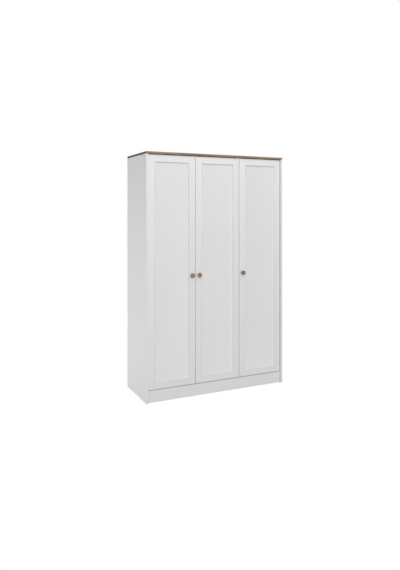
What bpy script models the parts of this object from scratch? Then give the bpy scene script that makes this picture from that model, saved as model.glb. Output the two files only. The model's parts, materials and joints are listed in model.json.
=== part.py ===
"""Three-door wardrobe with a walnut top, built as the separate pieces it is assembled from.

Frame: metres, +Z up. The front faces -Y. The origin is on the floor, at the centre of the
object's outline, knobs included. The left and middle doors close one wide hanging
compartment, and the right door closes a narrow one with shelves.
"""
import math

import bmesh
import bpy
from mathutils import Vector

# Overall sizes of the carcass
WIDTH = 1.350
DEPTH = 0.500
HEIGHT = 2.100
BOARD = 0.018
TOP_THICKNESS = 0.018
EDGE_RADIUS = 0.0008
SEAT_GAP = 0.0003

# Base
PLINTH_HEIGHT = 0.083
PLINTH_SETBACK = 0.004
REAR_PLINTH_INSET = 0.045

# Doors
DOOR_THICKNESS = 0.018
DOOR_RECESS = 0.013
DOOR_GAP = 0.004
DOOR_TOP_GAP = 0.006
DOOR_BOTTOM_GAP = 0.005
DOOR_BACK_GAP = 0.002
DOOR_EDGE_RADIUS = 0.0012
FRAME_WIDTH = 0.041
CREST_RISE = 0.004
CREST_WIDTH = 0.015
COVE_WIDTH = 0.012
PANEL_RECESS = 0.008

# Concealed hinges
PIVOT_INSET = 0.003
HINGES_PER_DOOR = 4
HINGE_END_INSET = 0.100
CUP_RADIUS = 0.0175
CUP_DEPTH = 0.0125
CUP_EDGE_DISTANCE = 0.005
CUP_WALL = 0.001
CUP_FLANGE = 0.0012
CUP_LIP = 0.0018
WING_LENGTH = 0.058
WING_WIDTH = 0.016
WING_OFFSET = 0.0095
WING_HOLE_SPACING = 0.045
WING_HOLE_RADIUS = 0.002
LINK_WIDTH = 0.010
LINK_THICKNESS = 0.005
LINK_REACH = 0.009
LINK_OFFSET = 0.006
ARM_CLEARANCE = 0.001
ARM_WIDTH = 0.013
ARM_THICKNESS = 0.009
ARM_LENGTH = 0.070
NOSE_LENGTH = 0.007
NOSE_WIDTH = 0.009
ARM_SLOPE_LENGTH = 0.020
ARM_HEEL_LENGTH = 0.007
PLATE_THICKNESS = 0.0025
PLATE_LENGTH = 0.036
PLATE_WIDTH = 0.019
PLATE_WING_HEIGHT = 0.052
PLATE_WING_WIDTH = 0.012
PLATE_SETBACK = 0.020

# Knobs
KNOB_HEIGHT = 1.0455
KNOB_EDGE_DISTANCE = 0.031
KNOB_LENGTH = 0.025
KNOB_RADIUS = 0.021
KNOB_BASE_RADIUS = 0.0095
KNOB_BASE_HEIGHT = 0.002
KNOB_NECK_RADIUS = 0.008
KNOB_NECK_START = 0.006
KNOB_NECK_END = 0.011
KNOB_FLARE_RADIUS = 0.015
KNOB_FLARE_HEIGHT = 0.015
KNOB_RIM = 0.004
KNOB_DISH_RADIUS = 0.0136
KNOB_DISH = 0.0015
SCREW_RADIUS = 0.002
SCREW_HEAD_RADIUS = 0.0042
SCREW_HEAD_CROWN_RADIUS = 0.003
SCREW_HEAD_HEIGHT = 0.0024
SCREW_HEAD_RIM_HEIGHT = 0.0013
SCREW_GRIP = 0.011
SCREW_TIP_GAP = 0.0009
SCREW_HOLE_CLEARANCE = 0.0006

# Back sheets
SHEET_THICKNESS = 0.003
SHEET_INSET = 0.010
GROOVE_DEPTH = 0.008
TOP_GROOVE_DEPTH = 0.006
GROOVE_PLAY = 0.0005
STRIP_WALL = 0.001
STRIP_WIDTH = 0.016
STRIP_WEB = 0.0015

# Interior
SHELF_COUNT = 4
SHELF_SIDE_PLAY = 0.001
SHELF_BACK_PLAY = 0.003
HAT_SPACE_HEIGHT = 0.324
RAIL_DROP = 0.060
RAIL_RADIUS = 0.0125
RAIL_WALL = 0.0012
SOCKET_BASE = 0.0025
SOCKET_COLLAR = 0.012
SOCKET_COLLAR_WALL = 0.003
SOCKET_FLANGE_RADIUS = 0.026
PIN_HOLE_RADIUS = 0.0025
PIN_HOLE_DEPTH = 0.010
PIN_HOLE_PITCH = 0.032
PIN_HOLES_PER_SHELF = 3
PIN_COLUMN_INSET = 0.037
BRACKET_LEG = 0.035
BRACKET_WIDTH = 0.030
BRACKET_THICKNESS = 0.002
BRACKET_SIDE_DISTANCE = 0.028
BRACKET_HOLE_RADIUS = 0.003

# Fineness of curves, and how far a cutter runs past what it cuts
CURVE_STEPS = 5
MOULDING_STEPS = 8
ROUND_SEGMENTS = 20
KNOB_SEGMENTS = 36
HOLE_SEGMENTS = 10
OVERCUT = 0.005

# Places that follow from the sizes
KNOB_OVERHANG = KNOB_LENGTH - DOOR_RECESS
FRONT = (KNOB_OVERHANG - DEPTH) / 2
REAR = FRONT + DEPTH
INNER_X = WIDTH / 2 - BOARD
TOP_UNDERSIDE = HEIGHT - TOP_THICKNESS
FLOOR_TOP = PLINTH_HEIGHT + BOARD
DOOR_FRONT = FRONT + DOOR_RECESS
DOOR_BACK = DOOR_FRONT + DOOR_THICKNESS
INNER_FRONT = DOOR_BACK + DOOR_BACK_GAP
DOOR_BOTTOM = FLOOR_TOP + DOOR_BOTTOM_GAP
DOOR_TOP = TOP_UNDERSIDE - DOOR_TOP_GAP
DOOR_WIDTH = (2 * INNER_X - 4 * DOOR_GAP) / 3
DOOR_PITCH = DOOR_WIDTH + DOOR_GAP
PARTITION_X = -INNER_X + 2 * DOOR_PITCH + DOOR_GAP / 2
SHEET_BACK = REAR - SHEET_INSET
SHEET_FRONT = SHEET_BACK - SHEET_THICKNESS
STRIP_FRONT = SHEET_FRONT - SEAT_GAP - STRIP_WALL
INNER_BACK = STRIP_FRONT - SEAT_GAP
HAT_SHELF_TOP = TOP_UNDERSIDE - HAT_SPACE_HEIGHT
RAIL_Z = HAT_SHELF_TOP - BOARD - RAIL_DROP
RAIL_Y = (INNER_FRONT + INNER_BACK) / 2


def clear_scene():
    for old in list(bpy.data.objects):
        bpy.data.objects.remove(old)


def make_material(name, colour, roughness, metallic=0.0):
    material = bpy.data.materials.new(name)
    material.use_nodes = True
    shader = material.node_tree.nodes["Principled BSDF"]
    shader.inputs["Base Color"].default_value = (*colour, 1.0)
    shader.inputs["Roughness"].default_value = roughness
    shader.inputs["Metallic"].default_value = metallic
    return material


def add_object(name, bm, material, location, parent=None):
    """Turn a bmesh into an object whose origin stands at a world location."""
    bmesh.ops.recalc_face_normals(bm, faces=bm.faces)
    mesh = bpy.data.meshes.new(name)
    bm.to_mesh(mesh)
    bm.free()
    return add_mesh(name, mesh, material, location, parent)


def add_mesh(name, mesh, material, location, parent=None):
    if material is not None and not mesh.materials:
        mesh.materials.append(material)
    piece = bpy.data.objects.new(name, mesh)
    bpy.context.scene.collection.objects.link(piece)
    origin = parent.location if parent else Vector((0, 0, 0))
    piece.parent = parent
    piece.location = Vector(location) - origin
    return piece


def shade_round(piece, angle=35):
    piece.data.shade_smooth()
    piece.data.set_sharp_from_angle(angle=math.radians(angle))


def box_bmesh(size, edge_radius=0.0):
    bm = bmesh.new()
    bmesh.ops.create_cube(bm, size=1.0)
    bmesh.ops.scale(bm, vec=size, verts=bm.verts)
    if edge_radius:
        bmesh.ops.bevel(bm, geom=bm.edges, offset=edge_radius, segments=2, profile=0.5, affect="EDGES")
    return bm


def board(name, low, high, material, edge_radius=EDGE_RADIUS, parent=None):
    """A rectangular board between two world corners, with its edges eased."""
    low, high = Vector(low), Vector(high)
    return add_object(name, box_bmesh(high - low, edge_radius), material, (low + high) / 2, parent)


def make_cutter(name, bm, location, parent=None):
    cutter = add_object(name, bm, None, location, parent)
    cutter.hide_render = True
    cutter.display_type = "WIRE"
    return cutter


def combine(piece, other, operation="DIFFERENCE"):
    change = piece.modifiers.new(other.name, "BOOLEAN")
    change.operation = operation
    change.solver = "EXACT"
    change.object = other


def cut_box(piece, low, high):
    low, high = Vector(low), Vector(high)
    cutter = make_cutter(piece.name + "_groove", box_bmesh(high - low), (low + high) / 2)
    combine(piece, cutter)


def freeze(shape):
    """Apply a shape's modifiers and return the mesh alone."""
    depsgraph = bpy.context.evaluated_depsgraph_get()
    mesh = bpy.data.meshes.new_from_object(shape.evaluated_get(depsgraph))
    mesh.name = shape.name
    tools = [change.object for change in shape.modifiers]
    for used in tools + [shape]:
        bpy.data.objects.remove(used)
    return mesh


def add_cylinder(bm, centre, axis, radius, length, segments=HOLE_SEGMENTS):
    """Add a closed cylinder, centred on a point and running along a direction."""
    turn = Vector((0, 0, 1)).rotation_difference(Vector(axis)).to_matrix().to_4x4()
    turn.translation = Vector(centre)
    bmesh.ops.create_cone(
        bm, cap_ends=True, segments=segments, radius1=radius, radius2=radius, depth=length, matrix=turn)


def turned_bmesh(profile, segments):
    """Turn a profile of (radius, height) points round Z; both its ends lie on the axis."""
    bm = bmesh.new()
    rings = []
    for radius, height in profile:
        if radius == 0:
            rings.append([bm.verts.new((0, 0, height))])
            continue
        angles = [2 * math.pi * step / segments for step in range(segments)]
        rings.append([bm.verts.new((radius * math.cos(a), radius * math.sin(a), height)) for a in angles])
    for lower, upper in zip(rings, rings[1:]):
        for step in range(segments):
            after = (step + 1) % segments
            corners = [lower[step % len(lower)], lower[after % len(lower)]]
            corners += [upper[after % len(upper)], upper[step % len(upper)]]
            bm.faces.new(list(dict.fromkeys(corners)))
    return bm


def tube_bmesh(radius, wall, length):
    """An open-ended tube along X, centred on the origin."""
    bm = bmesh.new()
    angles = [2 * math.pi * step / ROUND_SEGMENTS for step in range(ROUND_SEGMENTS)]
    rings = []
    for reach, x in ((radius, -length / 2), (radius, length / 2),
                     (radius - wall, length / 2), (radius - wall, -length / 2)):
        rings.append([bm.verts.new((x, reach * math.cos(a), reach * math.sin(a))) for a in angles])
    for first, second in zip(rings, rings[1:] + rings[:1]):
        for step in range(ROUND_SEGMENTS):
            after = (step + 1) % ROUND_SEGMENTS
            bm.faces.new((first[step], first[after], second[after], second[step]))
    return bm


def extruded_bmesh(outline, width):
    """Extrude an outline of (x, y) points to a width along Z, centred on Z = 0."""
    bm = bmesh.new()
    face = bm.faces.new([bm.verts.new((x, y, -width / 2)) for x, y in outline])
    grown = bmesh.ops.extrude_face_region(bm, geom=[face])
    moved = [item for item in grown["geom"] if isinstance(item, bmesh.types.BMVert)]
    bmesh.ops.translate(bm, vec=(0, 0, width), verts=moved)
    return bm


def door_left_x(index):
    return -INNER_X + DOOR_GAP + index * DOOR_PITCH


def hinge_heights():
    first = DOOR_BOTTOM + HINGE_END_INSET
    last = DOOR_TOP - HINGE_END_INSET
    step = (last - first) / (HINGES_PER_DOOR - 1)
    return [first + step * number for number in range(HINGES_PER_DOOR)]


def shelf_bottoms():
    bay = (TOP_UNDERSIDE - FLOOR_TOP - SHELF_COUNT * BOARD) / (SHELF_COUNT + 1)
    return [FLOOR_TOP + (bay + BOARD) * number + bay for number in range(SHELF_COUNT)]


def drill_pin_holes(piece, face_x, direction):
    """Drill the shelf-pin holes into one inner face, a short column at each shelf."""
    bm = bmesh.new()
    for y in (INNER_FRONT + PIN_COLUMN_INSET, INNER_BACK - PIN_COLUMN_INSET):
        for bottom in shelf_bottoms():
            for number in range(PIN_HOLES_PER_SHELF):
                offset = (number - (PIN_HOLES_PER_SHELF - 1) / 2) * PIN_HOLE_PITCH
                centre = (face_x, y, bottom - PIN_HOLE_RADIUS + offset)
                add_cylinder(bm, centre, (direction, 0, 0), PIN_HOLE_RADIUS, 2 * PIN_HOLE_DEPTH)
    combine(piece, make_cutter(piece.name + "_pin_holes", bm, (0, 0, 0)))


def build_sides(white):
    """Full-height side panels, grooved near the rear for the back sheets."""
    groove_half = SHEET_THICKNESS / 2 + GROOVE_PLAY
    groove_y = (SHEET_FRONT + SHEET_BACK) / 2
    for name, side in (("side_panel_left", -1), ("side_panel_right", 1)):
        faces = sorted((side * INNER_X, side * WIDTH / 2))
        panel = board(name, (faces[0], FRONT, 0), (faces[1], REAR, TOP_UNDERSIDE - SEAT_GAP), white)
        groove = sorted((side * (INNER_X - OVERCUT), side * (INNER_X + GROOVE_DEPTH)))
        cut_box(panel, (groove[0], groove_y - groove_half, -OVERCUT),
                (groove[1], groove_y + groove_half, HEIGHT + OVERCUT))
        if side == 1:
            drill_pin_holes(panel, INNER_X, side)


def build_top(walnut):
    """Walnut top, flush with the side panels, grooved underneath for the back sheets."""
    top = board("top_board", (-WIDTH / 2, FRONT, TOP_UNDERSIDE), (WIDTH / 2, REAR, HEIGHT), walnut)
    groove_half = SHEET_THICKNESS / 2 + GROOVE_PLAY
    groove_y = (SHEET_FRONT + SHEET_BACK) / 2
    reach = INNER_X + GROOVE_DEPTH
    cut_box(top, (-reach, groove_y - groove_half, TOP_UNDERSIDE - OVERCUT),
            (reach, groove_y + groove_half, TOP_UNDERSIDE + TOP_GROOVE_DEPTH))


def build_base(white):
    """Bottom panel on a plinth frame that stands on the floor between the side panels."""
    inner = INNER_X - SEAT_GAP
    board("bottom_panel", (-inner, DOOR_FRONT, PLINTH_HEIGHT),
          (inner, SHEET_FRONT - SEAT_GAP, FLOOR_TOP), white)
    under = PLINTH_HEIGHT - SEAT_GAP
    front_y = DOOR_FRONT + PLINTH_SETBACK
    rear_y = REAR - REAR_PLINTH_INSET
    board("plinth_front", (-inner, front_y, 0), (inner, front_y + BOARD, under), white)
    board("plinth_rear", (-inner, rear_y - BOARD, 0), (inner, rear_y, under), white)
    board("plinth_brace", (PARTITION_X - BOARD / 2, front_y + BOARD + SEAT_GAP, 0),
          (PARTITION_X + BOARD / 2, rear_y - BOARD - SEAT_GAP, under), white)


def build_partition(white):
    left = PARTITION_X - BOARD / 2
    right = PARTITION_X + BOARD / 2
    panel = board("partition_panel", (left, INNER_FRONT, FLOOR_TOP + SEAT_GAP),
                  (right, INNER_BACK, TOP_UNDERSIDE - SEAT_GAP), white)
    drill_pin_holes(panel, right, -1)


def build_back(hardboard, plastic):
    """Three thin sheets in the grooves, joined by two H-section strips."""
    reach = INNER_X + GROOVE_DEPTH - GROOVE_PLAY
    sheet_top = TOP_UNDERSIDE + TOP_GROOVE_DEPTH - GROOVE_PLAY
    web_half = STRIP_WEB / 2 + SEAT_GAP
    joints = [PARTITION_X - DOOR_PITCH, PARTITION_X]
    edges = [-reach] + [x + side * web_half for x in joints for side in (-1, 1)] + [reach]
    names = ("back_sheet_left", "back_sheet_middle", "back_sheet_right")
    for name, low_x, high_x in zip(names, edges[0::2], edges[1::2]):
        board(name, (low_x, SHEET_FRONT, PLINTH_HEIGHT), (high_x, SHEET_BACK, sheet_top), hardboard, 0)
    inside = SHEET_THICKNESS / 2 + SEAT_GAP
    outside = inside + STRIP_WALL
    flange = STRIP_WIDTH / 2
    web = STRIP_WEB / 2
    outline = [(-flange, -outside), (flange, -outside), (flange, -inside), (web, -inside)]
    outline += [(web, inside), (flange, inside), (flange, outside), (-flange, outside)]
    outline += [(-flange, inside), (-web, inside), (-web, -inside), (-flange, -inside)]
    low_z = FLOOR_TOP + SEAT_GAP
    high_z = TOP_UNDERSIDE - SEAT_GAP
    centre_y = (SHEET_FRONT + SHEET_BACK) / 2
    for name, x in zip(("back_strip_left", "back_strip_right"), joints):
        place = (x, centre_y, (low_z + high_z) / 2)
        add_object(name, extruded_bmesh(outline, high_z - low_z), plastic, place)


def build_shelves(white):
    """One fixed shelf over the hanging space, and loose shelves behind the right door."""
    back = INNER_BACK - SHELF_BACK_PLAY
    board("hat_shelf", (-INNER_X + SEAT_GAP, INNER_FRONT, HAT_SHELF_TOP - BOARD),
          (PARTITION_X - BOARD / 2 - SEAT_GAP, back, HAT_SHELF_TOP), white)
    low_x = PARTITION_X + BOARD / 2 + SHELF_SIDE_PLAY
    high_x = INNER_X - SHELF_SIDE_PLAY
    for number, bottom in enumerate(shelf_bottoms(), 1):
        board(f"shelf_{number}", (low_x, INNER_FRONT, bottom), (high_x, back, bottom + BOARD), white)


def build_hanging_rail(chrome):
    """A round tube held at each end in a flanged socket."""
    left_face = -INNER_X
    right_face = PARTITION_X - BOARD / 2
    end_gap = SEAT_GAP + SOCKET_BASE + SEAT_GAP
    length = right_face - left_face - 2 * end_gap
    tube = add_object("hanging_rail", tube_bmesh(RAIL_RADIUS, RAIL_WALL, length), chrome,
                      ((left_face + right_face) / 2, RAIL_Y, RAIL_Z))
    shade_round(tube)
    bore = RAIL_RADIUS + SEAT_GAP
    collar = bore + SOCKET_COLLAR_WALL
    profile = [(0, 0), (SOCKET_FLANGE_RADIUS, 0), (SOCKET_FLANGE_RADIUS, SOCKET_BASE), (collar, SOCKET_BASE)]
    profile += [(collar, SOCKET_COLLAR), (bore, SOCKET_COLLAR), (bore, SOCKET_BASE), (0, SOCKET_BASE)]
    for name, face, side in (("rail_socket_left", left_face, 1), ("rail_socket_right", right_face, -1)):
        place = (face + side * SEAT_GAP, RAIL_Y, RAIL_Z)
        socket = add_object(name, turned_bmesh(profile, ROUND_SEGMENTS), chrome, place)
        socket.rotation_euler = (0, side * math.pi / 2, 0)
        shade_round(socket)


def build_wall_brackets(steel):
    """Angle brackets under the top, for the screws that hold the wardrobe to a wall."""
    leg, thick = BRACKET_LEG, BRACKET_THICKNESS
    outline = [(0, 0), (-leg, 0), (-leg, -thick), (-thick, -thick), (-thick, -leg), (0, -leg)]
    for name, side in (("wall_bracket_left", -1), ("wall_bracket_right", 1)):
        x = side * (INNER_X - BRACKET_SIDE_DISTANCE - BRACKET_WIDTH / 2)
        place = Vector((x, SHEET_FRONT - SEAT_GAP, TOP_UNDERSIDE - SEAT_GAP))
        bm = extruded_bmesh(outline, BRACKET_WIDTH)
        for vert in bm.verts:
            vert.co = Vector((vert.co.z, vert.co.x, vert.co.y))
        bracket = add_object(name, bm, steel, place)
        holes = bmesh.new()
        middle = (leg + thick) / 2
        add_cylinder(holes, (0, -middle, 0), (0, 0, 1), BRACKET_HOLE_RADIUS, 4 * thick)
        add_cylinder(holes, (0, 0, -middle), (0, 1, 0), BRACKET_HOLE_RADIUS, 4 * thick)
        combine(bracket, make_cutter(name + "_holes", holes, place))


def arc_point(centre, radius, angle):
    return centre[0] + radius * math.cos(angle), centre[1] + radius * math.sin(angle)


def ease_share(share):
    """How far a smooth curve has come, level at both its ends."""
    return (1 - math.cos(math.pi * share)) / 2


def door_profile():
    """Section of a door from its back edge round to the sunk panel, as (inset, depth behind the front)."""
    ease = DOOR_EDGE_RADIUS
    section = [(ease, DOOR_THICKNESS), (0, DOOR_THICKNESS - ease)]
    for step in range(CURVE_STEPS):
        angle = math.pi + math.pi / 2 * step / (CURVE_STEPS - 1)
        section.append(arc_point((ease, ease), ease, angle))
    for step in range(MOULDING_STEPS + 1):
        share = step / MOULDING_STEPS
        section.append((FRAME_WIDTH + CREST_WIDTH * share, -CREST_RISE * ease_share(share)))
    for step in range(1, MOULDING_STEPS + 1):
        share = step / MOULDING_STEPS
        depth = -CREST_RISE + (CREST_RISE + PANEL_RECESS) * ease_share(share)
        section.append((FRAME_WIDTH + CREST_WIDTH + COVE_WIDTH * share, depth))
    return section


def door_bmesh():
    """A door with a framed, sunk panel, made of nested rectangular loops."""
    bm = bmesh.new()
    half_width = DOOR_WIDTH / 2
    half_height = (DOOR_TOP - DOOR_BOTTOM) / 2
    loops = []
    for inset, depth in door_profile():
        x, z = half_width - inset, half_height - inset
        corners = ((-x, -z), (x, -z), (x, z), (-x, z))
        loops.append([bm.verts.new((cx, depth, cz)) for cx, cz in corners])
    bm.faces.new(loops[0])
    bm.faces.new(loops[-1])
    for outer, inner in zip(loops, loops[1:]):
        for corner in range(4):
            after = (corner + 1) % 4
            bm.faces.new((outer[corner], outer[after], inner[after], inner[corner]))
    return bm


def knob_profile():
    """Section of a knob round its axis, as (radius, distance in front of the door)."""
    hole = SCREW_RADIUS + SEAT_GAP
    rim_centre = KNOB_LENGTH - KNOB_RIM
    head_radius = KNOB_RADIUS - KNOB_RIM
    section = [(0, SCREW_GRIP + SEAT_GAP), (hole, SCREW_GRIP + SEAT_GAP), (hole, SEAT_GAP)]
    section += [(KNOB_BASE_RADIUS, SEAT_GAP), (KNOB_BASE_RADIUS, KNOB_BASE_HEIGHT)]
    section += [(KNOB_NECK_RADIUS, KNOB_NECK_START), (KNOB_NECK_RADIUS, KNOB_NECK_END)]
    section += [(KNOB_FLARE_RADIUS, KNOB_FLARE_HEIGHT)]
    for step in range(CURVE_STEPS + 1):
        angle = -math.pi / 4 + (math.pi * 3 / 4) * step / CURVE_STEPS
        section.append(arc_point((head_radius, rim_centre), KNOB_RIM, angle))
    section += [(KNOB_DISH_RADIUS, KNOB_LENGTH - KNOB_DISH), (0, KNOB_LENGTH - KNOB_DISH)]
    return section


def screw_profile():
    """Section of a knob screw: pan head behind the door, shank through it into the knob."""
    tip = DOOR_THICKNESS + SEAT_GAP + SCREW_GRIP - SCREW_TIP_GAP
    head = SCREW_HEAD_HEIGHT
    return [(0, -head), (SCREW_HEAD_CROWN_RADIUS, -head), (SCREW_HEAD_RADIUS, -SCREW_HEAD_RIM_HEIGHT),
            (SCREW_HEAD_RADIUS, 0), (SCREW_RADIUS, 0), (SCREW_RADIUS, tip), (0, tip)]


def hinge_cup_profile():
    """Section of a hinge cup, as (radius, height behind the door's back face)."""
    outer = CUP_RADIUS - SEAT_GAP
    inner = outer - CUP_WALL
    bottom = -CUP_DEPTH + SEAT_GAP
    flange_top = SEAT_GAP + CUP_FLANGE
    lip = CUP_RADIUS + CUP_LIP
    return [(0, bottom), (outer, bottom), (outer, SEAT_GAP), (lip, SEAT_GAP), (lip, flange_top),
            (inner, flange_top), (inner, bottom + CUP_WALL), (0, bottom + CUP_WALL)]


def hinge_cup_parts():
    """The cup, screw wing and link that ride on a door; the first is the mesh, the rest combine with it."""
    cup = turned_bmesh(hinge_cup_profile(), ROUND_SEGMENTS)
    for vert in cup.verts:
        vert.co = Vector((vert.co.x, vert.co.z, -vert.co.y))
    wing = box_bmesh((WING_WIDTH, CUP_FLANGE, WING_LENGTH))
    bmesh.ops.translate(wing, vec=(WING_OFFSET, SEAT_GAP + CUP_FLANGE / 2, 0), verts=wing.verts)
    well = bmesh.new()
    well_radius = CUP_RADIUS - SEAT_GAP - CUP_WALL
    well_length = 2 * CUP_DEPTH - 4 * CUP_WALL
    add_cylinder(well, (0, 0, 0), (0, 1, 0), well_radius, well_length, ROUND_SEGMENTS)
    holes = bmesh.new()
    for side in (-1, 1):
        centre = (WING_OFFSET, 0, side * WING_HOLE_SPACING / 2)
        add_cylinder(holes, centre, (0, 1, 0), WING_HOLE_RADIUS, 2 * OVERCUT)
    floor = -CUP_DEPTH + SEAT_GAP + CUP_WALL / 2
    link = box_bmesh((LINK_THICKNESS, LINK_REACH - floor, LINK_WIDTH))
    bmesh.ops.translate(link, vec=(LINK_OFFSET, (LINK_REACH + floor) / 2, 0), verts=link.verts)
    return cup, wing, well, holes, link


def build_hinge_cup_mesh(steel):
    """Combine the cup's parts once; every hinge cup then shares the resulting mesh."""
    cup, wing, well, holes, link = hinge_cup_parts()
    shape = add_object("hinge_cup_shape", cup, steel, (0, 0, 0))
    combine(shape, make_cutter("hinge_wing_shape", wing, (0, 0, 0)), "UNION")
    combine(shape, make_cutter("hinge_well_shape", well, (0, 0, 0)))
    combine(shape, make_cutter("hinge_holes_shape", holes, (0, 0, 0)))
    combine(shape, make_cutter("hinge_link_shape", link, (0, 0, 0)), "UNION")
    return freeze(shape)


def build_hinge_arm_mesh(name, steel, cup_distance):
    """Arm and mounting plate, as x from the panel's face and y behind the doors' front plane.

    cup_distance is how far the cup's centre stands from the panel's face, which sets the arm's crank.
    """
    nose_y = DOOR_THICKNESS + SEAT_GAP + CUP_FLANGE + ARM_CLEARANCE
    nose_x = cup_distance + LINK_OFFSET - LINK_THICKNESS / 2 - ARM_CLEARANCE
    foot = SEAT_GAP + PLATE_THICKNESS
    bed = SEAT_GAP + PLATE_THICKNESS / 2
    bend_y = nose_y + NOSE_LENGTH + ARM_SLOPE_LENGTH
    end_y = nose_y + ARM_LENGTH
    outline = [(nose_x - NOSE_WIDTH, nose_y), (nose_x, nose_y), (nose_x, nose_y + NOSE_LENGTH)]
    outline += [(foot + ARM_THICKNESS, bend_y), (foot + ARM_THICKNESS, end_y), (bed, end_y)]
    outline += [(bed, bend_y - ARM_HEEL_LENGTH), (nose_x - NOSE_WIDTH, nose_y + NOSE_LENGTH / 2)]
    shape = add_object(name, extruded_bmesh(outline, ARM_WIDTH), steel, (0, 0, 0))
    plate_y = nose_y + PLATE_SETBACK + PLATE_LENGTH / 2
    base = box_bmesh((PLATE_THICKNESS, PLATE_LENGTH, PLATE_WIDTH))
    bmesh.ops.translate(base, vec=(SEAT_GAP + PLATE_THICKNESS / 2, plate_y, 0), verts=base.verts)
    wings = box_bmesh((PLATE_THICKNESS, PLATE_WING_WIDTH, PLATE_WING_HEIGHT))
    bmesh.ops.translate(wings, vec=(SEAT_GAP + PLATE_THICKNESS / 2, plate_y, 0), verts=wings.verts)
    combine(shape, make_cutter(name + "_base", base, (0, 0, 0)), "UNION")
    combine(shape, make_cutter(name + "_wings", wings, (0, 0, 0)), "UNION")
    return freeze(shape)


def build_door(name, index, hinge_side, knob_side, materials, meshes):
    """One door with its hinges, knob and screw; an empty on the hinge axis carries what moves."""
    left = door_left_x(index)
    right = left + DOOR_WIDTH
    hinge_edge = left if hinge_side < 0 else right
    free_edge = left if knob_side < 0 else right
    middle_z = (DOOR_BOTTOM + DOOR_TOP) / 2
    pivot = bpy.data.objects.new(name + "_axis", None)
    bpy.context.scene.collection.objects.link(pivot)
    pivot.location = (hinge_edge - hinge_side * PIVOT_INSET, DOOR_FRONT, DOOR_BOTTOM)
    middle = ((left + right) / 2, DOOR_FRONT, middle_z)
    door = add_object(name, door_bmesh(), materials["white"], middle, pivot)

    cup_x = hinge_edge - hinge_side * (CUP_EDGE_DISTANCE + CUP_RADIUS)
    knob_x = free_edge - knob_side * KNOB_EDGE_DISTANCE
    drill = bmesh.new()
    for z in hinge_heights():
        add_cylinder(drill, (cup_x, DOOR_BACK, z), (0, 1, 0), CUP_RADIUS, 2 * CUP_DEPTH, ROUND_SEGMENTS)
    hole_radius = SCREW_RADIUS + SCREW_HOLE_CLEARANCE
    add_cylinder(drill, (knob_x, DOOR_FRONT, KNOB_HEIGHT), (0, 1, 0), hole_radius, 4 * DOOR_THICKNESS)
    for vert in drill.verts:
        vert.co -= pivot.location
    combine(door, make_cutter(name + "_bores", drill, pivot.location, pivot))

    position = name.split("_")[1]
    knob = add_object(
        "knob_" + position, turned_bmesh(knob_profile(), KNOB_SEGMENTS), materials["walnut"],
        (knob_x, DOOR_FRONT, KNOB_HEIGHT), pivot)
    knob.rotation_euler = (math.pi / 2, 0, 0)
    shade_round(knob)
    screw = add_object(
        "knob_screw_" + position, turned_bmesh(screw_profile(), HOLE_SEGMENTS), materials["steel"],
        (knob_x, DOOR_BACK + SEAT_GAP, KNOB_HEIGHT), pivot)
    screw.rotation_euler = (math.pi / 2, 0, 0)
    shade_round(screw)

    turn = (0, 0 if hinge_side < 0 else math.pi, 0)
    post_x = hinge_side * INNER_X if index != 1 else PARTITION_X - BOARD / 2
    arm_mesh = meshes["arm_half" if index == 1 else "arm_inset"]
    for number, z in enumerate(hinge_heights(), 1):
        cup = add_mesh(f"hinge_cup_{position}_{number}", meshes["cup"], None, (cup_x, DOOR_BACK, z), pivot)
        cup.rotation_euler = turn
        arm = add_mesh(f"hinge_arm_{position}_{number}", arm_mesh, None, (post_x, DOOR_FRONT, z))
        arm.rotation_euler = turn


def main():
    clear_scene()
    materials = {
        "white": make_material("white_foil", (0.80, 0.80, 0.80), 0.45),
        "walnut": make_material("walnut", (0.26, 0.17, 0.12), 0.50),
        "steel": make_material("steel", (0.62, 0.62, 0.62), 0.30, 1.0),
        "chrome": make_material("chrome", (0.75, 0.75, 0.76), 0.15, 1.0),
        "hardboard": make_material("hardboard", (0.78, 0.78, 0.77), 0.70),
        "plastic": make_material("plastic", (0.80, 0.80, 0.79), 0.50),
    }
    build_sides(materials["white"])
    build_top(materials["walnut"])
    build_base(materials["white"])
    build_partition(materials["white"])
    build_back(materials["hardboard"], materials["plastic"])
    build_shelves(materials["white"])
    build_hanging_rail(materials["chrome"])
    build_wall_brackets(materials["steel"])

    cup_reach = CUP_EDGE_DISTANCE + CUP_RADIUS
    overlay = (BOARD - DOOR_GAP) / 2
    meshes = {
        "cup": build_hinge_cup_mesh(materials["steel"]),
        "arm_inset": build_hinge_arm_mesh("arm_inset_shape", materials["steel"], DOOR_GAP + cup_reach),
        "arm_half": build_hinge_arm_mesh("arm_half_shape", materials["steel"], cup_reach - overlay),
    }
    build_door("door_left", 0, -1, 1, materials, meshes)
    build_door("door_middle", 1, 1, -1, materials, meshes)
    build_door("door_right", 2, 1, -1, materials, meshes)


main()
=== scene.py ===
"""Looks for the three-door wardrobe: finishes, small fittings, floor, light and camera."""
import json
import math

import bmesh
import bpy
from mathutils import Matrix, Vector


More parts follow.
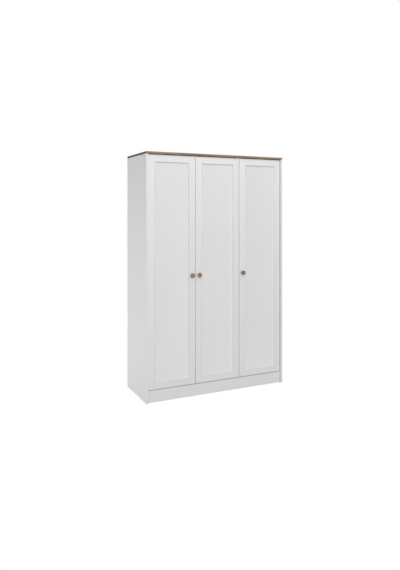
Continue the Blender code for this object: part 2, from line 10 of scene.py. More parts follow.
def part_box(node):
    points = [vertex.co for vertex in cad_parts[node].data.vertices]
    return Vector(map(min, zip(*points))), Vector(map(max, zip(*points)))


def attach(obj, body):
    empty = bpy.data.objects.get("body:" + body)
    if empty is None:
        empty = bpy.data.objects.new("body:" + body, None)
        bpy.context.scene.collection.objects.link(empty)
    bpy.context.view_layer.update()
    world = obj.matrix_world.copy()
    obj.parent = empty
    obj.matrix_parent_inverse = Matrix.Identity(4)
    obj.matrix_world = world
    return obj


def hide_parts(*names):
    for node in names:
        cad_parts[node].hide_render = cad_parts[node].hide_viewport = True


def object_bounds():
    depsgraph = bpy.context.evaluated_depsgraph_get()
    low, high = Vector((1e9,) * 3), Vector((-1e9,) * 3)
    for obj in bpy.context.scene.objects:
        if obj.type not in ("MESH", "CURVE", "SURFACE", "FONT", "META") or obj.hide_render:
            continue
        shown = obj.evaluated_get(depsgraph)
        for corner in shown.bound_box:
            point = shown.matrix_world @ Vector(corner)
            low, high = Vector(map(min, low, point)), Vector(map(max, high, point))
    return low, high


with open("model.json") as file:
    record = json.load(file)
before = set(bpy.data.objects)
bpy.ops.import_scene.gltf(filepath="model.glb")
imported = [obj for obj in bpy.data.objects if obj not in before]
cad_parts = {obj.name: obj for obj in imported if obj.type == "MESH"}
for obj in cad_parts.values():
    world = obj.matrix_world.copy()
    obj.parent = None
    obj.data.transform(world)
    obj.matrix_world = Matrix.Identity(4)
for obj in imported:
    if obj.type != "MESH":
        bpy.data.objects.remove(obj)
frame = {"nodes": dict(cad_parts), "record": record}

CAD_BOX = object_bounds()
HINGE_SIDES = {"left": -1, "middle": 1, "right": 1}

# Camera; its heading is in degrees to the right of +Y
CAMERA_PLACE = (-2.2061, -4.4161, 1.6059)
CAMERA_HEADING = 24.854
CAMERA_LENS = 33.741
CAMERA_SHIFT = (0.0171, -0.1305)

# Light: each lamp's place, what it aims at, its width in metres and its power in watts
LAMPS = {
    "key": ((-4.77, -13.35, 2.30), (0.0, -0.24, 1.05), 3.0, 675.0),
    "far_left": ((-8.46, -10.32, 5.84), (0.0, -0.24, 1.05), 3.0, 297.0),
    "front_right": ((4.79, -13.40, 1.05), (0.0, -0.24, 1.05), 3.0, 264.0),
    "far_right": ((8.46, -10.32, 5.84), (0.0, -0.24, 1.05), 3.0, 171.0),
    "low_left": ((-4.3, 0.8, 0.25), (-0.675, 0.0, 0.9), 1.4, 113.0),
    "top_front": ((0.0, -1.8, 4.2), (0.0, -0.24, 1.4), 1.2, 27.0),
    "right_side": ((6.5, 2.2, 1.6), (0.675, 0.0, 1.0), 2.4, 190.0),
    "rear": ((1.4, 7.0, 2.6), (0.0, 0.25, 1.0), 3.0, 420.0),
    "overhead": ((0.5, 1.6, 6.0), (0.0, 0.0, 2.1), 2.0, 75.0),
}
WORLD_FILL = 0.10

# Floor; its glows are pairs of (share of the reach from the footprint, strength)
FLOOR_HALF_WIDTH = 20.0
FLOOR_GLOW_REACH = 2.0
FLOOR_GLOWS = ((0.0, 0.205), (0.15, 0.33), (1.0, 0.22))
FLOOR_GAP = 0.0005

# Boards and finishes
BOARD = 0.018
SKIN = 0.0004
WELD_DISTANCE = 0.00002
METAL_EDGE = 0.0003

# Fineness of turned pieces
KNOB_SEGMENTS = 72
CAP_SEGMENTS = 32
BUMPER_SEGMENTS = 24
SCREW_SEGMENTS = 20
PIN_SEGMENTS = 16

# Hinge fittings, measured from a hinge's own box or from the door's back. SINK is how far the screw
# heads on the plates and arms sink in.
SINK = 0.0003
CUP_WING_FACE = 0.0015
CUP_WING_OFFSET = 0.0095
CUP_HOLE_SPACING = 0.045
PLATE_FACE = 0.0028
PLATE_CENTRE = 0.038
PLATE_SCREW_SPACING = 0.040
ARM_FACE = 0.0118
ARM_SCREW_PLACES = (0.034, 0.058)
ARM_WIDTH = 0.013
NOSE_PIN_DEPTH = 0.0035
NOSE_PIN_OFFSET = 0.0045

# Screw and rivet heads, as radius and height, and the recess as shares of a head
SCREW_HEAD = (0.0038, 0.0016)
SMALL_SCREW_HEAD = (0.0026, 0.0011)
RIVET_HEAD = (0.0022, 0.0007)
RECESS_LENGTH_SHARE = 0.62
RECESS_WIDTH_SHARE = 0.24

# Rail sockets and wall brackets
SOCKET_BASE = 0.0025
SOCKET_SCREW_RADIUS = 0.0205
BRACKET_HOLE_PLACE = 0.0185
BRACKET_THICKNESS = 0.002

# Shelf pins, cover caps and bumpers
TOUCH_GAP = 0.0001
PIN_RADIUS = 0.0024
PIN_REACH = 0.0085
PIN_TIP_EASE = 0.0004
PIN_COLLAR_RADIUS = 0.00456
PIN_COLLAR_THICKNESS = 0.0008
PIN_INSET = 0.037
SHELF_BACK_PLAY = 0.003
CAP_RADIUS = 0.0085
CAP_HEIGHT = 0.0012
CAP_RIM = 0.0006
CAP_DROP = 0.034
CAP_INSETS = (0.090, 0.430)
NOTCH_LENGTH = 0.0024
NOTCH_WIDTH = 0.0018
BUMPER_RADIUS = 0.0035
BUMPER_HEIGHT = 0.0012
BUMPER_HEIGHTS = (0.25, 1.05, 1.85)
BUMPER_SPREAD = 0.015

# Knobs. The flare is (radius, distance from the door) and the dish (radius, depth below the face);
# the face's edge and its bead's centre are (inset from the rim arc's centre, depth below the face).
KNOB_SEAT = 0.0003
KNOB_BASE_RADIUS = 0.0095
KNOB_BASE_EASE = 0.0008
KNOB_BASE_EASE_HEIGHT = 0.0012
KNOB_NECK_RADIUS = 0.008
KNOB_NECK_CURVE = 0.0052
KNOB_NECK_HEIGHT = 0.0085
KNOB_FLARE = ((0.0148, 0.0148), (0.0180, 0.0176))
KNOB_RADIUS = 0.021
KNOB_LENGTH = 0.025
KNOB_RIM = 0.004
KNOB_FACE_EDGE = (0.0012, 0.0001)
KNOB_BEAD_CENTRE = (0.0024, 0.0010)
KNOB_BEAD_RADIUS = 0.0009
KNOB_DISH = ((0.0128, 0.0014), (0.006, 0.0012), (0, 0.0010))


# ---------------------------------------------------------------- materials

class Finish:
    """One node material, with short calls that wire its nodes."""

    def __init__(self, name):
        self.material = bpy.data.materials.new(name)
        self.material.use_nodes = True
        self.tree = self.material.node_tree
        self.shader = self.tree.nodes["Principled BSDF"]
        self.place = self.node("ShaderNodeTexCoord").outputs["Object"]

    def node(self, kind, **settings):
        made = self.tree.nodes.new(kind)
        for key, value in settings.items():
            setattr(made, key, value)
        return made

    def feed(self, socket, value):
        """Give a socket a link, a colour or a number."""
        if isinstance(value, bpy.types.NodeSocket):
            self.tree.links.new(value, socket)
        elif isinstance(value, tuple):
            socket.default_value = (*value, 1.0)
        else:
            socket.default_value = value

    def stretched(self, scale):
        mapping = self.node("ShaderNodeMapping")
        mapping.inputs["Scale"].default_value = scale
        self.feed(mapping.inputs["Vector"], self.place)
        return mapping.outputs["Vector"]

    def noise(self, vector, scale, detail=2.0, roughness=0.5, distortion=0.0):
        made = self.node("ShaderNodeTexNoise")
        made.inputs["Scale"].default_value = scale
        made.inputs["Detail"].default_value = detail
        made.inputs["Roughness"].default_value = roughness
        made.inputs["Distortion"].default_value = distortion
        self.feed(made.inputs["Vector"], vector)
        return made.outputs["Fac"]

    def spread(self, value, low, high, to_low=0.0, to_high=1.0):
        """Map a value from one range to another, clamped."""
        made = self.node("ShaderNodeMapRange")
        limits = {"From Min": low, "From Max": high, "To Min": to_low, "To Max": to_high}
        for key, number in limits.items():
            made.inputs[key].default_value = number
        self.feed(made.inputs["Value"], value)
        return made.outputs["Result"]

    def ramp(self, value, stops):
        made = self.node("ShaderNodeValToRGB")
        elements = made.color_ramp.elements
        while len(elements) < len(stops):
            elements.new(0.5)
        for element, (position, colour) in zip(elements, stops):
            element.position = position
            element.color = (*colour, 1.0)
        self.feed(made.inputs["Fac"], value)
        return made.outputs["Color"]

    def mix(self, share, first, second):
        made = self.node("ShaderNodeMix", data_type="RGBA")
        for number, value in ((0, share), (6, first), (7, second)):
            self.feed(made.inputs[number], value)
        return made.outputs[2]

    def math(self, operation, first, second=0.0):
        made = self.node("ShaderNodeMath", operation=operation)
        self.feed(made.inputs[0], first)
        self.feed(made.inputs[1], second)
        return made.outputs[0]

    def beyond(self, axis, limit):
        """1 where a point lies further than a limit along one axis, 0 before it."""
        parts = self.node("ShaderNodeSeparateXYZ")
        self.feed(parts.inputs["Vector"], self.place)
        return self.math("GREATER_THAN", parts.outputs[axis], limit)

    def bump(self, height, distance, strength=1.0, under=None):
        made = self.node("ShaderNodeBump")
        made.inputs["Strength"].default_value = strength
        made.inputs["Distance"].default_value = distance
        self.feed(made.inputs["Height"], height)
        if under is not None:
            self.feed(made.inputs["Normal"], under)
        return made.outputs["Normal"]

    def set(self, name, value):
        self.feed(self.shader.inputs[name], value)


def raw_chipboard(finish):
    """Colour of a bare particle-board edge: pressed flakes of a few millimetres."""
    flakes = finish.node("ShaderNodeTexVoronoi", feature="F1")
    flakes.inputs["Scale"].default_value = 1.0
    finish.feed(flakes.inputs["Vector"], finish.stretched((420, 420, 420)))
    fine = finish.noise(finish.place, 900, detail=3)
    tone = finish.math("ADD", finish.math("MULTIPLY", flakes.outputs["Distance"], 0.5), fine)
    stops = ((0.35, (0.20, 0.125, 0.065)), (0.75, (0.42, 0.30, 0.18)), (1.0, (0.56, 0.43, 0.28)))
    return finish.ramp(tone, stops)


def white_foil(name, raw_behind=None):
    """Satin white foil with a fine upright pore, over particle board or MDF.

    raw_behind is the depth past which an edge is bare board, on panels whose rear edges have no foil.
    """
    finish = Finish(name)
    clouds = finish.noise(finish.place, 2.2, detail=3)
    pores = finish.noise(finish.stretched((1100, 1100, 26)), 1.0, detail=2, roughness=0.6)
    skin = finish.noise(finish.place, 1500, detail=2)
    colour = finish.ramp(clouds, ((0.30, (0.795, 0.795, 0.793)), (0.70, (0.812, 0.812, 0.811))))
    colour = finish.mix(finish.spread(pores, 0.58, 0.72, 0.0, 0.10), colour, (0.74, 0.74, 0.735))
    if raw_behind is not None:
        colour = finish.mix(finish.beyond("Y", raw_behind), colour, raw_chipboard(finish))
    finish.set("Base Color", colour)
    finish.set("Roughness", finish.spread(clouds, 0.3, 0.7, 0.52, 0.58))
    finish.set("Specular IOR Level", 0.3)
    pored = finish.bump(pores, 0.00004, 0.5)
    finish.set("Normal", finish.bump(skin, 0.00003, 0.35, under=pored))
    return finish.material


def walnut(name, grain, figure=1.0, raw_behind=None, ends_at=None):
    """Satin walnut whose grain runs along one axis.

    figure scales the pattern, for small pieces turned from finer wood. raw_behind is the depth past
    which an edge is bare board, and ends_at the distance to either side where darker end edges start.
    """
    def lengths(along, across):
        return tuple((along if part else across) * figure for part in grain)

    finish = Finish(name)
    flow = finish.noise(finish.stretched(lengths(1.1, 15.0)), 1.0, 4, 0.55, 0.6)
    bands = finish.node("ShaderNodeTexWave", bands_direction="DIAGONAL", wave_profile="SAW")
    bands.inputs["Scale"].default_value = 1.6
    bands.inputs["Distortion"].default_value = 5.0
    bands.inputs["Detail"].default_value = 3.0
    bands.inputs["Detail Scale"].default_value = 1.4
    finish.feed(bands.inputs["Vector"], finish.stretched(lengths(0.6, 8.0)))
    fibre = finish.noise(finish.stretched(lengths(16, 420)), 1.0, detail=3)
    pores = finish.noise(finish.stretched(lengths(34, 1300)), 1.0, detail=1)
    tone = finish.math("MULTIPLY", flow, 0.62)
    tone = finish.math("ADD", tone, finish.math("MULTIPLY", bands.outputs["Fac"], 0.20))
    tone = finish.math("ADD", tone, finish.math("MULTIPLY", fibre, 0.22))
    stops = ((0.30, (0.157, 0.096, 0.059)), (0.47, (0.263, 0.175, 0.116)),
             (0.60, (0.352, 0.244, 0.168)), (0.78, (0.468, 0.341, 0.242)))
    open_pores = finish.spread(pores, 0.62, 0.72)
    colour = finish.ramp(tone, stops)
    colour = finish.mix(finish.math("MULTIPLY", open_pores, 0.55), colour, (0.085, 0.050, 0.034))
    if ends_at is not None:
        left_end = finish.math("SUBTRACT", 1.0, finish.beyond("X", -ends_at))
        ends = finish.math("ADD", left_end, finish.beyond("X", ends_at))
        colour = finish.mix(finish.math("MULTIPLY", ends, 0.6), colour, (0.10, 0.070, 0.048))
    if raw_behind is not None:
        colour = finish.mix(finish.beyond("Y", raw_behind), colour, raw_chipboard(finish))
    finish.set("Base Color", colour)
    finish.set("Roughness", finish.spread(fibre, 0.3, 0.7, 0.42, 0.56))
    finish.set("Specular IOR Level", 0.45)
    grained = finish.bump(fibre, 0.00008, 0.5)
    closed = finish.math("SUBTRACT", 1.0, open_pores)
    finish.set("Normal", finish.bump(closed, 0.00006, 0.6, under=grained))
    return finish.material


def metal(name, colour, roughness, marks_scale=(300, 300, 300), variation=0.06):
    """Plated steel with fine drawing marks and a slightly uneven polish."""
    finish = Finish(name)
    marks = finish.noise(finish.stretched(marks_scale), 1.0, detail=3)
    haze = finish.noise(finish.place, 35, detail=3)
    darker = tuple(part * 0.86 for part in colour)
    finish.set("Base Color", finish.mix(finish.spread(haze, 0.35, 0.7), colour, darker))
    finish.set("Metallic", 1.0)
    uneven = finish.math("ADD", finish.math("MULTIPLY", marks, 0.5), finish.math("MULTIPLY", haze, 0.5))
    finish.set("Roughness", finish.spread(uneven, 0.3, 0.7, roughness - variation / 2, roughness + variation))
    finish.set("Normal", finish.bump(marks, 0.00002, 0.25))
    return finish.material


def hardboard(name, back_y):
    """Thin fibre board: white print towards the inside, bare brown fibre towards the wall."""
    finish = Finish(name)
    fibre = finish.noise(finish.place, 700, detail=4, roughness=0.7)
    clouds = finish.noise(finish.place, 6, detail=3)
    stops = ((0.30, (0.165, 0.095, 0.052)), (0.55, (0.250, 0.155, 0.090)), (0.75, (0.34, 0.23, 0.145)))
    stains = finish.spread(clouds, 0.35, 0.65, 0.0, 0.25)
    brown = finish.mix(stains, finish.ramp(fibre, stops), (0.18, 0.11, 0.065))
    white = finish.ramp(clouds, ((0.3, (0.775, 0.775, 0.770)), (0.7, (0.795, 0.795, 0.792))))
    rear = finish.beyond("Y", back_y)
    finish.set("Base Color", finish.mix(rear, white, brown))
    finish.set("Roughness", finish.spread(rear, 0.0, 1.0, 0.50, 0.85))
    finish.set("Normal", finish.bump(fibre, 0.00005, 0.5))
    return finish.material


def moulded_plastic(name, colour, roughness=0.45):
    """Injection-moulded plastic with a fine spark-eroded texture."""
    finish = Finish(name)
    grain = finish.noise(finish.place, 2600, detail=2)
    clouds = finish.noise(finish.place, 14, detail=2)
    dull = tuple(part * 0.95 for part in colour)
    finish.set("Base Color", finish.mix(finish.spread(clouds, 0.35, 0.65), colour, dull))
    finish.set("Roughness", finish.spread(grain, 0.3, 0.7, roughness - 0.04, roughness + 0.05))
    finish.set("Normal", finish.bump(grain, 0.00004, 0.4))
    return finish.material


# ---------------------------------------------------------------- mesh helpers

def link_piece(name, mesh, material, body):
    piece = bpy.data.objects.new(name, mesh)
    bpy.context.scene.collection.objects.link(piece)
    mesh.materials.clear()
    mesh.materials.append(material)
    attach(piece, body)
    return piece


def body_of(node):
    bodies = frame["record"]["behaviour"]["bodies"]
    return next(body for body, members in bodies.items() if node in members)


def slot_of(node):
    return next(part["material_slot"] for part in frame["record"]["subparts"] if part["node"] == node)


def finish_mesh(bm, name, angle=35.0):
    """Turn a bmesh into a smooth-shaded mesh whose sharp edges stay sharp."""
    bmesh.ops.recalc_face_normals(bm, faces=bm.faces)
    mesh = bpy.data.meshes.new(name)
    bm.to_mesh(mesh)
    bm.free()
    mesh.shade_smooth()
    mesh.set_sharp_from_angle(angle=math.radians(angle))
    return mesh


def smooth_copy(node, material, angle=32.0, edge=0.0):
    """Stand a welded, smooth-shaded copy of a CAD node in its place, with sharp edges eased by edge."""
    bm = bmesh.new()
    bm.from_mesh(frame["nodes"][node].data)
    bmesh.ops.remove_doubles(bm, verts=bm.verts, dist=WELD_DISTANCE)
    bmesh.ops.dissolve_limit(bm, angle_limit=math.radians(0.5), verts=bm.verts, edges=bm.edges)
    mesh = finish_mesh(bm, node + "_finished", angle)
    piece = link_piece(node + "_finished", mesh, material, body_of(node))
    if edge:
        ease = piece.modifiers.new("eased_edges", "BEVEL")
        ease.width = edge
        ease.segments = 2
        ease.limit_method = "ANGLE"
        ease.angle_limit = math.radians(angle)
        ease.harden_normals = True
    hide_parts(node)


def dress(node, material):
    """Give a CAD node that keeps its own mesh a finish."""
    mesh = frame["nodes"][node].data
    mesh.materials.clear()
    mesh.materials.append(material)


def turned(profile, segments):
    """Turn a profile of (radius, height) points round Z; radius 0 closes an end."""
    bm = bmesh.new()
    rings = []
    for radius, height in profile:
        if radius == 0:
            rings.append([bm.verts.new((0, 0, height))])
            continue
        angles = [2 * math.pi * step / segments for step in range(segments)]
        rings.append([bm.verts.new((radius * math.cos(a), radius * math.sin(a), height)) for a in angles])
    for lower, upper in zip(rings, rings[1:]):
        for step in range(segments):
            after = (step + 1) % segments
            corners = [lower[step % len(lower)], lower[after % len(lower)]]
            corners += [upper[after % len(upper)], upper[step % len(upper)]]
            bm.faces.new(list(dict.fromkeys(corners)))
    return bm


def block(size, centre):
    bm = bmesh.new()
    bmesh.ops.create_cube(bm, size=1.0)
    bmesh.ops.scale(bm, vec=size, verts=bm.verts)
    bmesh.ops.translate(bm, vec=centre, verts=bm.verts)
    return bm


def arc(centre, radius, start, end, steps):
    """Points along an arc from one angle to another, in degrees."""
    points = []
    for step in range(steps + 1):
        angle = math.radians(start + (end - start) * step / steps)
        points.append((centre[0] + radius * math.cos(angle), centre[1] + radius * math.sin(angle)))
    return points


def cut(base, cutters):
    """Return the mesh of one bmesh with others cut out of it."""
    tools = []
    for number, bm in enumerate([base] + cutters):
        mesh = finish_mesh(bm, "tool_%d" % number)
        tools.append(bpy.data.objects.new(mesh.name, mesh))
        bpy.context.scene.collection.objects.link(tools[-1])
    for tool in tools[1:]:
        change = tools[0].modifiers.new(tool.name, "BOOLEAN")
        change.operation = "DIFFERENCE"
        change.object = tool
    depsgraph = bpy.context.evaluated_depsgraph_get()
    mesh = bpy.data.meshes.new_from_object(tools[0].evaluated_get(depsgraph))
    for tool in tools:
        bpy.data.objects.remove(tool)
    return mesh


def facing(direction, place):
    """Matrix that stands something modelled along +Z at a place, facing a direction."""
    turn = Vector((0, 0, 1)).rotation_difference(Vector(direction)).to_matrix().to_4x4()
    return Matrix.Translation(Vector(place)) @ turn


def scatter(name, mesh, stands, material, body):
    """Join copies of one mesh, each at its own matrix, into one piece."""
    bm = bmesh.new()
    for matrix in stands:
        start = len(bm.verts)
        bm.from_mesh(mesh)
        bm.verts.ensure_lookup_table()
        bmesh.ops.transform(bm, matrix=matrix, verts=bm.verts[start:])
    link_piece(name, finish_mesh(bm, name), material, body)


# ---------------------------------------------------------------- small fittings

def screw_head(radius, height):
    """A pan head that stands on Z = 0, with a cross recess."""
    crown = radius * 0.72
    shoulder = crown + (radius - crown) * 0.7
    profile = [(0, 0), (radius, 0), (radius, height * 0.35)]
    profile += [(shoulder, height * 0.75), (crown, height * 0.93), (0, height)]
    length = 2 * radius * RECESS_LENGTH_SHARE
    width = 2 * radius * RECESS_WIDTH_SHARE
    middle = (0, 0, height)
    slots = [block((length, width, height), middle), block((width, length, height), middle)]
    return cut(turned(profile, SCREW_SEGMENTS), slots)


def rivet_head(radius, height):
    profile = [(0, 0), (radius, 0), (radius, height * 0.4), (radius * 0.7, height), (0, height)]
    return finish_mesh(turned(profile, PIN_SEGMENTS), "rivet")


def shelf_pin():
    """A pin along +Z with a collar at its foot, which stands on the panel's face."""
    collar = PIN_COLLAR_THICKNESS
    profile = [(0, 0), (PIN_COLLAR_RADIUS, 0), (PIN_COLLAR_RADIUS, collar), (PIN_RADIUS, collar)]
    profile += [(PIN_RADIUS, PIN_REACH - PIN_TIP_EASE), (PIN_RADIUS * 0.8, PIN_REACH), (0, PIN_REACH)]
    return finish_mesh(turned(profile, PIN_SEGMENTS), "shelf_pin")


def cover_cap():
    """A round cap with a softened rim, a sunk middle and a small lifting notch."""
    rim = CAP_RIM
    sunk = CAP_HEIGHT * 0.8
    profile = [(0, 0), (CAP_RADIUS, 0), (CAP_RADIUS, CAP_HEIGHT - rim)]
    profile += arc((CAP_RADIUS - rim, CAP_HEIGHT - rim), rim, 15, 90, 4)
    profile += [(CAP_RADIUS * 0.62, CAP_HEIGHT), (CAP_RADIUS * 0.56, sunk), (0, sunk)]
    notch = block((NOTCH_LENGTH, NOTCH_WIDTH, CAP_HEIGHT), (CAP_RADIUS, 0, CAP_HEIGHT))
    return cut(turned(profile, CAP_SEGMENTS), [notch])


def bumper():
    """A small clear dome that a door closes against."""
    radius, rise = BUMPER_RADIUS, BUMPER_HEIGHT
    profile = [(0, 0), (radius, 0), (radius, rise * 0.3), (radius * 0.9, rise * 0.7)]
    profile += [(radius * 0.6, rise * 0.95), (0, rise)]
    return finish_mesh(turned(profile, BUMPER_SEGMENTS), "bumper")


def numbered_boxes(stem):
    """The boxes of the nodes stem_1, stem_2 and so on."""
    boxes = []
    while f"{stem}_{len(boxes) + 1}" in frame["nodes"]:
        boxes.append(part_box(f"{stem}_{len(boxes) + 1}"))
    return boxes


def cup_screw_stands(side, towards):
    """Where the two screws in each hinge cup's wing stand, on the back of one door."""
    stands = []
    for low, high in numbered_boxes("hinge_cup_" + side):
        x = (low.x + high.x) / 2 + towards * CUP_WING_OFFSET
        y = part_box("door_" + side)[1].y + CUP_WING_FACE
        for up in (-0.5, 0.5):
            z = (low.z + high.z) / 2 + up * CUP_HOLE_SPACING
            stands.append(facing((0, 1, 0), (x, y, z)))
    return stands


def arm_stands(side, towards):
    """Where the plate screws, adjusting screws and link pins of one door's hinge arms stand.

    towards is 1 where the opening lies to the right of its hinges, and -1 where it lies to the left.
    """
    plate, adjusting, pins = [], [], []
    for low, high in numbered_boxes("hinge_arm_" + side):
        wall, nose = (low.x, high.x) if towards > 0 else (high.x, low.x)
        z = (low.z + high.z) / 2
        for up in (-0.5, 0.5):
            place = (wall + towards * (PLATE_FACE - SINK), low.y + PLATE_CENTRE, z + up * PLATE_SCREW_SPACING)
            plate.append(facing((towards, 0, 0), place))
        for along in ARM_SCREW_PLACES:
            place = (wall + towards * (ARM_FACE - SINK), low.y + along, z)
            adjusting.append(facing((towards, 0, 0), place))
        for up in (-1, 1):
            place = (nose - towards * NOSE_PIN_OFFSET, low.y + NOSE_PIN_DEPTH, z + up * ARM_WIDTH / 2)
            pins.append(facing((0, 0, up), place))
    return plate, adjusting, pins


def add_hinge_fittings(steel):
    """Screws in every hinge cup's wing and mounting plate, and the arm's adjusting screws and pins."""
    head = screw_head(*SCREW_HEAD)
    small = screw_head(*SMALL_SCREW_HEAD)
    rivet = rivet_head(*RIVET_HEAD)
    plate, adjusting, pins = [], [], []
    for side, hinge_side in HINGE_SIDES.items():
        towards = -hinge_side
        stands = cup_screw_stands(side, towards)
        scatter("cup_screws_" + side, head, stands, steel, "door_" + side)
        for group, found in zip((plate, adjusting, pins), arm_stands(side, towards)):
            group.extend(found)
    scatter("plate_screws", head, plate, steel, "carcass")
    scatter("adjusting_screws", small, adjusting, steel, "carcass")
    scatter("hinge_pins", rivet, pins, steel, "carcass")


def add_rail_screws(chrome):
    """Two screws in each rail socket's flange."""
    head = screw_head(*SMALL_SCREW_HEAD)
    stands = []
    for name, inward in (("rail_socket_left", 1), ("rail_socket_right", -1)):
        low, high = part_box(name)
        x = (low.x if inward > 0 else high.x) + inward * SOCKET_BASE
        middle = (low + high) / 2
        for up in (-1, 1):
            place = (x, middle.y, middle.z + up * SOCKET_SCREW_RADIUS)
            stands.append(facing((inward, 0, 0), place))
    scatter("rail_screws", head, stands, chrome, "carcass")


def add_bracket_screws(steel):
    """One screw up into the top and one back through the sheet, in each wall bracket."""
    head = screw_head(*SCREW_HEAD)
    stands = []
    for name in ("wall_bracket_left", "wall_bracket_right"):
        low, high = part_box(name)
        x = (low.x + high.x) / 2
        under_top = (x, high.y - BRACKET_HOLE_PLACE, high.z - BRACKET_THICKNESS)
        before_sheet = (x, high.y - BRACKET_THICKNESS, high.z - BRACKET_HOLE_PLACE)
        stands.append(facing((0, 0, -1), under_top))
        stands.append(facing((0, -1, 0), before_sheet))
    scatter("bracket_screws", head, stands, steel, "carcass")


def inner_face(side_panel, inward):
    """The x of a side panel's inner face."""
    low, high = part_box(side_panel)
    return low.x + BOARD if inward > 0 else high.x - BOARD


def add_shelf_pins(steel):
    """Four pins under each loose shelf."""
    walls = ((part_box("partition_panel")[1].x, 1), (inner_face("side_panel_right", -1), -1))
    stands = []
    for low, high in numbered_boxes("shelf"):
        z = low.z - PIN_COLLAR_RADIUS - TOUCH_GAP
        for y in (low.y + PIN_INSET, high.y + SHELF_BACK_PLAY - PIN_INSET):
            for wall, inward in walls:
                stands.append(facing((inward, 0, 0), (wall + inward * TOUCH_GAP, y, z)))
    scatter("shelf_pins", shelf_pin(), stands, steel, "carcass")


def add_cover_caps(plastic):
    """Caps over the cam fittings that hold the top to the upright panels."""
    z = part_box("top_board")[0].z - CAP_DROP
    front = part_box("side_panel_left")[0].y
    walls = ((inner_face("side_panel_left", 1), 1), (inner_face("side_panel_right", -1), -1),
             (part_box("partition_panel")[0].x, -1))
    stands = []
    for wall, inward in walls:
        for inset in CAP_INSETS:
            stands.append(facing((inward, 0, 0), (wall + inward * TOUCH_GAP, front + inset, z)))
    scatter("cover_caps", cover_cap(), stands, plastic, "carcass")


def add_bumpers(clear):
    """Domes on the front edges that the doors' free edges close against."""
    low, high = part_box("hat_shelf")
    meeting = (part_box("door_left")[1].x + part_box("door_middle")[0].x) / 2
    places = [(meeting + side * BUMPER_SPREAD, low.y - TOUCH_GAP, (low.z + high.z) / 2) for side in (-1, 1)]
    low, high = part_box("partition_panel")
    x = (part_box("door_right")[0].x + high.x) / 2
    places += [(x, low.y - TOUCH_GAP, z) for z in BUMPER_HEIGHTS]
    stands = [facing((0, -1, 0), place) for place in places]
    scatter("door_bumpers", bumper(), stands, clear, "carcass")


def knob_outline():
    """Turned outline of a knob, as (radius, distance from the door), from its foot to its face's middle."""
    rim_radius = KNOB_RADIUS - KNOB_RIM
    base_ease = (KNOB_BASE_RADIUS - KNOB_BASE_EASE, KNOB_BASE_EASE_HEIGHT)
    neck = (KNOB_NECK_RADIUS + KNOB_NECK_CURVE, KNOB_NECK_HEIGHT)
    bead = (rim_radius - KNOB_BEAD_CENTRE[0], KNOB_LENGTH - KNOB_BEAD_CENTRE[1])
    outline = [(0, KNOB_SEAT), (KNOB_BASE_RADIUS - KNOB_BASE_EASE / 2, KNOB_SEAT)]
    outline += arc(base_ease, KNOB_BASE_EASE, -60, 60, 4)
    outline += arc(neck, KNOB_NECK_CURVE, 235, 128, 8)
    outline += KNOB_FLARE
    outline += arc((rim_radius, KNOB_LENGTH - KNOB_RIM), KNOB_RIM, -25, 90, 9)
    outline += [(rim_radius - KNOB_FACE_EDGE[0], KNOB_LENGTH - KNOB_FACE_EDGE[1])]
    outline += arc(bead, KNOB_BEAD_RADIUS, 60, -10, 3)
    outline += [(radius, KNOB_LENGTH - depth) for radius, depth in KNOB_DISH]
    return outline


def add_knobs(wood):
    """Finely turned knobs in place of the CAD ones."""
    for side in HINGE_SIDES:
        node = "knob_" + side
        name = node + "_turned"
        low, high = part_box(node)
        foot = ((low.x + high.x) / 2, low.y + KNOB_LENGTH, (low.z + high.z) / 2)
        bm = turned(knob_outline(), KNOB_SEGMENTS)
        bmesh.ops.transform(bm, matrix=facing((0, -1, 0), foot), verts=bm.verts)
        piece = link_piece(name, finish_mesh(bm, name), wood, body_of(node))
        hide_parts(node)


# ---------------------------------------------------------------- the wardrobe

def finish_boards(white, white_raw, top):
    """Dress the boards and shelves; white_raw is for the side panels, whose rear edges are bare."""
    for node in frame["nodes"]:
        if slot_of(node) == "white_foil" and not node.startswith("door"):
            dress(node, white_raw if node.startswith("side_panel") else white)
    dress("top_board", top)


def finish_doors(white, steel):
    for side in HINGE_SIDES:
        smooth_copy("door_" + side, white, angle=24)
        smooth_copy("knob_screw_" + side, steel, angle=35)


def finish_hardware(steel, chrome, plastic):
    for node in frame["nodes"]:
        if node.startswith(("hinge_", "wall_bracket")):
            smooth_copy(node, steel, angle=30, edge=METAL_EDGE)
        elif node.startswith("back_strip"):
            dress(node, plastic)
        elif node.startswith("rail_socket"):
            smooth_copy(node, chrome, angle=35, edge=METAL_EDGE)
    smooth_copy("hanging_rail", chrome, angle=40)


def finish_wardrobe():
    rear_skin = CAD_BOX[1].y - SKIN
    end_skin = CAD_BOX[1].x - SKIN
    white = white_foil("white_foil")
    white_raw = white_foil("white_foil_raw_edge", rear_skin)
    top = walnut("walnut_board", (1, 0, 0), raw_behind=rear_skin, ends_at=end_skin)
    wood = walnut("walnut_turned", (0, 0, 1), figure=4.5)
    steel = metal("nickel_steel", (0.60, 0.59, 0.57), 0.26)
    chrome = metal("polished_chrome", (0.78, 0.78, 0.79), 0.09, (40, 900, 900), 0.04)
    plastic = moulded_plastic("white_plastic", (0.78, 0.78, 0.77))
    clear = moulded_plastic("clear_silicone", (0.62, 0.63, 0.64), 0.25)
    sheet = hardboard("printed_hardboard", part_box("back_sheet_left")[1].y - SKIN)
    finish_boards(white, white_raw, top)
    finish_doors(white, steel)
    finish_hardware(steel, chrome, plastic)
    for name in ("back_sheet_left", "back_sheet_middle", "back_sheet_right"):
        dress(name, sheet)
    add_knobs(wood)
    add_hinge_fittings(steel)
    add_rail_screws(chrome)
    add_bracket_screws(steel)
    add_shelf_pins(steel)
    add_cover_caps(plastic)
    add_bumpers(clear)


# ---------------------------------------------------------------- stage

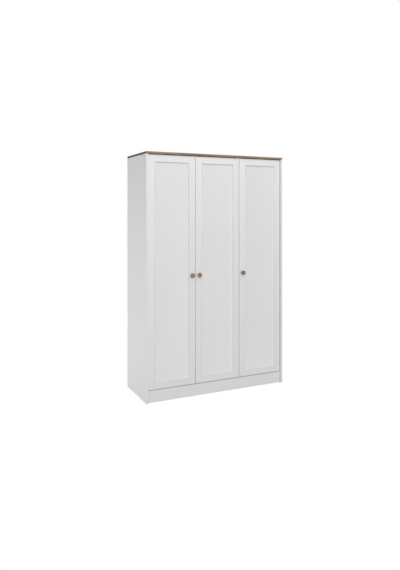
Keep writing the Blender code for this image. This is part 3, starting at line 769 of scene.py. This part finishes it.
def choose_by_ray(tree, lighting, seen, output_kind):
    """Show one shader to the camera and light the scene with another."""
    path = tree.nodes.new("ShaderNodeLightPath")
    mixer = tree.nodes.new("ShaderNodeMixShader")
    output = tree.nodes.new(output_kind)
    tree.links.new(path.outputs["Is Camera Ray"], mixer.inputs[0])
    tree.links.new(lighting, mixer.inputs[1])
    tree.links.new(seen, mixer.inputs[2])
    tree.links.new(mixer.outputs[0], output.inputs["Surface"])


def footprint_distance(tree):
    """How far a point of the floor lies outside the wardrobe's footprint."""
    place = tree.nodes.new("ShaderNodeTexCoord").outputs["Object"]
    footprint = (CAD_BOX[1].x, CAD_BOX[1].y, 1.0)
    for operation, other in (("ABSOLUTE", None), ("SUBTRACT", footprint), ("MAXIMUM", (0, 0, 0))):
        step = tree.nodes.new("ShaderNodeVectorMath")
        step.operation = operation
        tree.links.new(place, step.inputs[0])
        if other is not None:
            step.inputs[1].default_value = other
        place = step.outputs["Vector"]
    length = tree.nodes.new("ShaderNodeVectorMath")
    length.operation = "LENGTH"
    tree.links.new(place, length.inputs[0])
    return length.outputs["Value"]


def glow_level(tree, distance):
    """The floor's glow at a distance from the footprint, eased between the chosen levels."""
    share = tree.nodes.new("ShaderNodeMapRange")
    share.inputs["From Max"].default_value = FLOOR_GLOW_REACH
    tree.links.new(distance, share.inputs["Value"])
    levels = tree.nodes.new("ShaderNodeValToRGB")
    levels.color_ramp.interpolation = "EASE"
    elements = levels.color_ramp.elements
    while len(elements) < len(FLOOR_GLOWS):
        elements.new(0.5)
    for element, (position, level) in zip(elements, FLOOR_GLOWS):
        element.position = position
        element.color = (level, level, level, 1.0)
    tree.links.new(share.outputs["Result"], levels.inputs["Fac"])
    return levels.outputs["Color"]


def floor_material():
    """White to the camera; to the wardrobe it glows, less in the contact shade at its foot."""
    material = bpy.data.materials.new("floor")
    material.use_nodes = True
    tree = material.node_tree
    tree.nodes.clear()
    seen = tree.nodes.new("ShaderNodeEmission")
    glow = tree.nodes.new("ShaderNodeEmission")
    tree.links.new(glow_level(tree, footprint_distance(tree)), glow.inputs["Color"])
    choose_by_ray(tree, glow.outputs[0], seen.outputs[0], "ShaderNodeOutputMaterial")
    return material


def make_floor():
    mesh = bpy.data.meshes.new("floor")
    reach = FLOOR_HALF_WIDTH
    corners = [(-reach, -reach, 0), (reach, -reach, 0), (reach, reach, 0), (-reach, reach, 0)]
    mesh.from_pydata(corners, [], [(0, 1, 2, 3)])
    mesh.materials.append(floor_material())
    floor = bpy.data.objects.new("floor", mesh)
    floor.location.z = -FLOOR_GAP
    bpy.context.scene.collection.objects.link(floor)


def make_world():
    world = bpy.data.worlds.new("studio")
    bpy.context.scene.world = world
    world.use_nodes = True
    tree = world.node_tree
    tree.nodes.clear()
    seen = tree.nodes.new("ShaderNodeBackground")
    seen.inputs["Color"].default_value = (1, 1, 1, 1)
    fill = tree.nodes.new("ShaderNodeBackground")
    fill.inputs["Color"].default_value = (1, 1, 1, 1)
    fill.inputs["Strength"].default_value = WORLD_FILL
    choose_by_ray(tree, fill.outputs[0], seen.outputs[0], "ShaderNodeOutputWorld")


def make_lamps():
    for name, (place, aim, width, power) in LAMPS.items():
        light = bpy.data.lights.new(name, "AREA")
        light.shape = "SQUARE"
        light.size = width
        light.energy = power
        lamp = bpy.data.objects.new(name, light)
        lamp.location = place
        lamp.rotation_euler = (Vector(aim) - Vector(place)).to_track_quat("-Z", "Y").to_euler()
        lamp.visible_camera = False
        bpy.context.scene.collection.objects.link(lamp)


def make_camera():
    data = bpy.data.cameras.new("camera")
    data.lens = CAMERA_LENS
    data.shift_x, data.shift_y = CAMERA_SHIFT
    camera = bpy.data.objects.new("camera", data)
    camera.location = CAMERA_PLACE
    camera.rotation_euler = (math.radians(90), 0, -math.radians(CAMERA_HEADING))
    bpy.context.scene.collection.objects.link(camera)
    bpy.context.scene.camera = camera


make_camera()
finish_wardrobe()
make_floor()
make_world()
make_lamps()
bpy.context.scene.view_settings.view_transform = "Standard"
